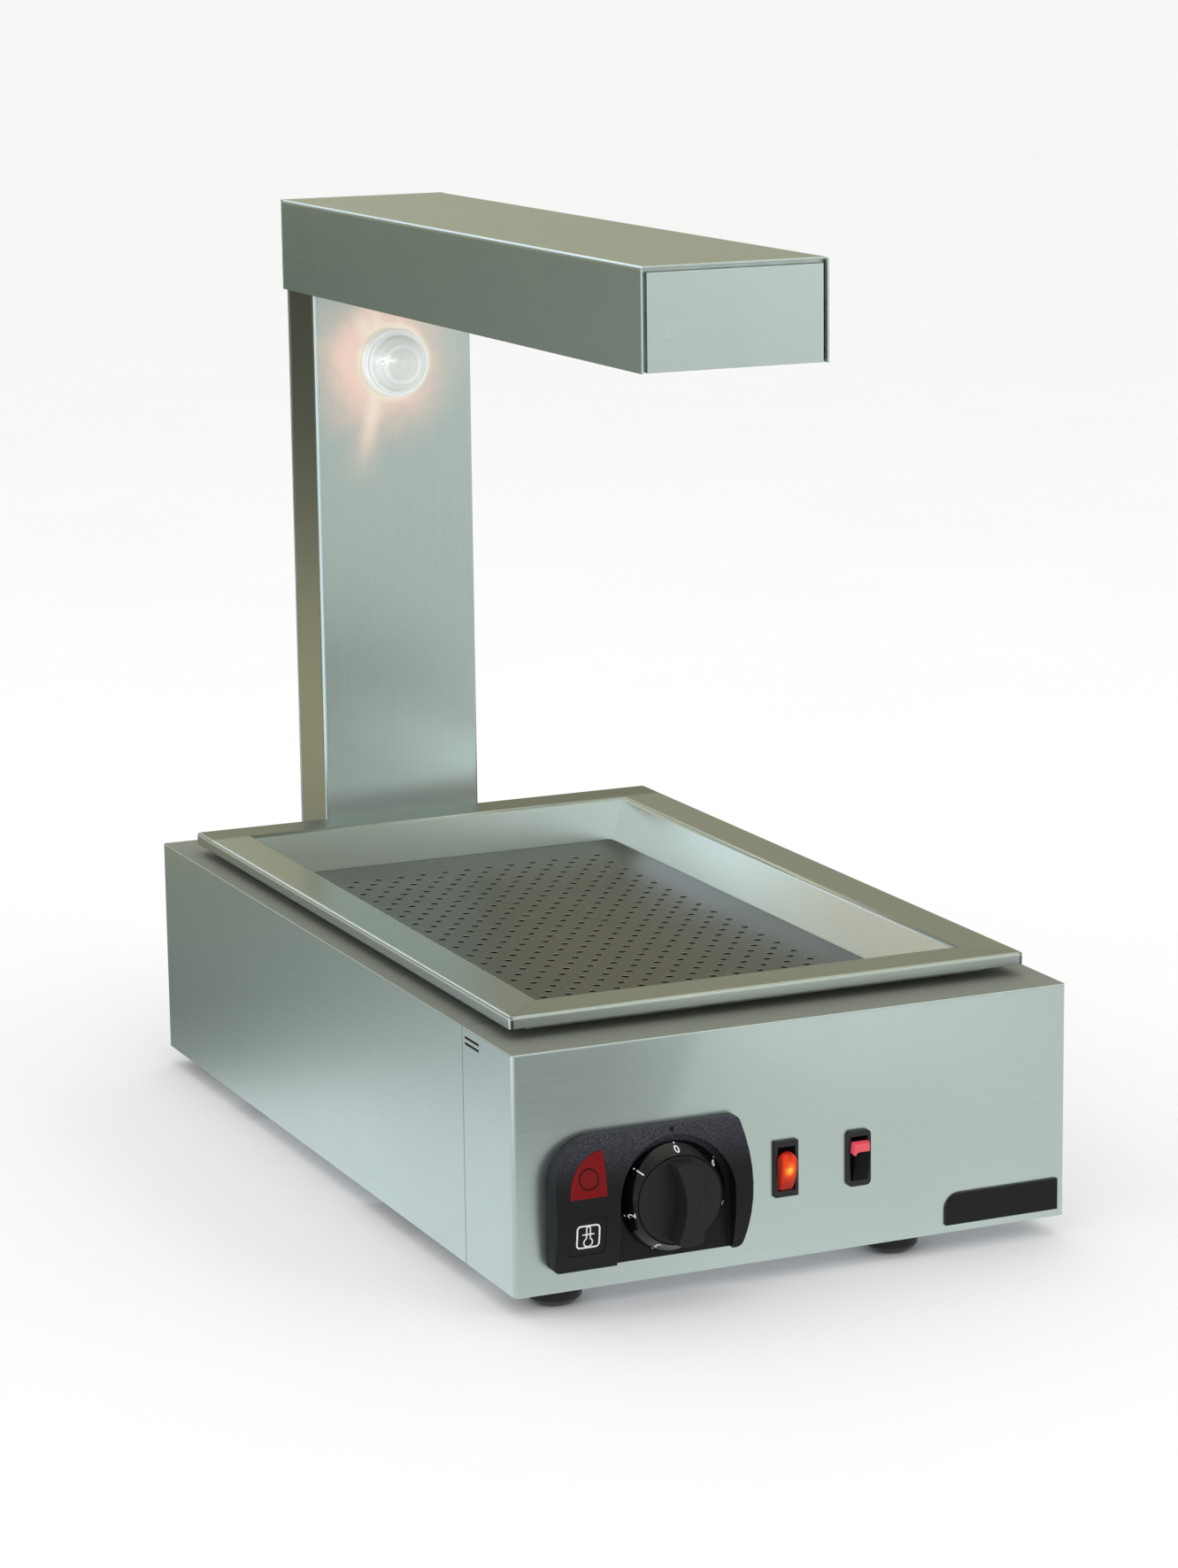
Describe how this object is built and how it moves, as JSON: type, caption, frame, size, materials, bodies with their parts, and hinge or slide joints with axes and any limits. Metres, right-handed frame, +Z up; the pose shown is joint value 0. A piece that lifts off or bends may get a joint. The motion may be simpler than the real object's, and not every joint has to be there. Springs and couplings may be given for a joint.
{
  "type": "french fry dump station",
  "caption": "Countertop heated dump station: stainless body with a lift-out pan and perforated drain plate, base heat, and a column and arm with emitters and lamp.",
  "frame": {"origin": "on the surface under the feet, at the middle of the overall length and width", "axes": "+Y from the control panel at the front to the column at the rear, +X to the right as seen from the front, +Z up"},
  "size_m": [0.35, 0.6802, 0.573],
  "materials": {
    "brushed_steel": "satin brushed stainless sheet, grain along each panel's length",
    "pan_steel": "satin stainless, welded mitres dressed at the rim's corners",
    "galvanised_sheet": "galvanised steel sheet, dull",
    "zinc_plate": "bright zinc plated steel",
    "black_plastic": "finely textured black moulding",
    "gloss_black": "glossy black moulding",
    "black_rubber": "black rubber",
    "red_lens": "dark red signal lens",
    "amber_lens": "lit amber rocker",
    "clear_glass": "pressed clear glass with rings",
    "white_ceramic": "glazed white ceramic",
    "element_sheath": "heat-darkened metal sheath",
    "brass": "turned brass"
  },
  "bodies": {
    "root": {"base_tray": "galvanised_sheet", "casing_shell": "brushed_steel", "front_panel": "brushed_steel", "well_liner": "galvanised_sheet", "base_element": "element_sheath", "element_bracket_front": "galvanised_sheet", "element_bracket_rear": "galvanised_sheet", "foot_left_front": "black_rubber", "foot_left_rear": "black_rubber", "foot_right_front": "black_rubber", "foot_right_rear": "black_rubber", "foot_screw_left_front": "zinc_plate", "foot_screw_left_rear": "zinc_plate", "foot_screw_right_front": "zinc_plate", "foot_screw_right_rear": "zinc_plate", "column_channel": "brushed_steel", "column_rear_cover": "brushed_steel", "column_mount_plate": "galvanised_sheet", "column_bolt_1": "zinc_plate", "column_bolt_2": "zinc_plate", "column_bolt_3": "zinc_plate", "column_bolt_4": "zinc_plate", "cover_screw_1": "zinc_plate", "cover_screw_2": "zinc_plate", "cover_screw_3": "zinc_plate", "cover_screw_4": "zinc_plate", "lamp_holder": "white_ceramic", "lamp_bulb": "clear_glass", "lamp_glass": "clear_glass", "arm_channel": "brushed_steel", "arm_end_cap": "brushed_steel", "arm_rear_cap": "brushed_steel", "heat_reflector": "galvanised_sheet", "guard_grille": "zinc_plate", "ceramic_emitter_front": "white_ceramic", "ceramic_emitter_rear": "white_ceramic", "emitter_clip_front": "galvanised_sheet", "emitter_clip_rear": "galvanised_sheet", "control_bezel": "black_plastic", "signal_lens": "red_lens", "sign_plate": "gloss_black", "pilot_lamp": "clear_glass", "regulator_body": "white_ceramic", "regulator_nut": "brass", "switch_housing_left": "gloss_black", "switch_housing_right": "gloss_black", "badge_plate": "gloss_black", "cable_gland": "black_plastic", "gland_lock_nut": "black_plastic", "terminal_block": "white_ceramic"},
    "pan": {"dump_pan": "pan_steel"},
    "plate": {"drain_plate": "pan_steel"},
    "knob": {"regulator_spindle": "zinc_plate", "knob_dial": "gloss_black", "knob_grip": "black_plastic"},
    "rocker_left": {"switch_rocker_left": "amber_lens"},
    "rocker_right": {"switch_rocker_right": "gloss_black"}
  },
  "joints": [
    {"name": "pan_lift", "type": "slide", "parent": "root", "child": "pan", "axis": [0, 0, 1], "range_m": [0, 0.15]},
    {"name": "plate_lift", "type": "slide", "parent": "pan", "child": "plate", "axis": [0, 0, 1], "range_m": [0, 0.08]},
    {"name": "knob_turn", "type": "hinge", "parent": "root", "child": "knob", "pos_m": [-0.081, -0.3208, 0.061], "axis": [0, 1, 0], "range_deg": [0, 308.57]},
    {"name": "rocker_left_tilt", "type": "hinge", "parent": "root", "child": "rocker_left", "pos_m": [-0.0076, -0.3068, 0.0655], "axis": [-1, 0, 0], "range_deg": [0, 20]},
    {"name": "rocker_right_tilt", "type": "hinge", "parent": "root", "child": "rocker_right", "pos_m": [0.0388, -0.3068, 0.0655], "axis": [-1, 0, 0], "range_deg": [0, 20]}
  ]
}
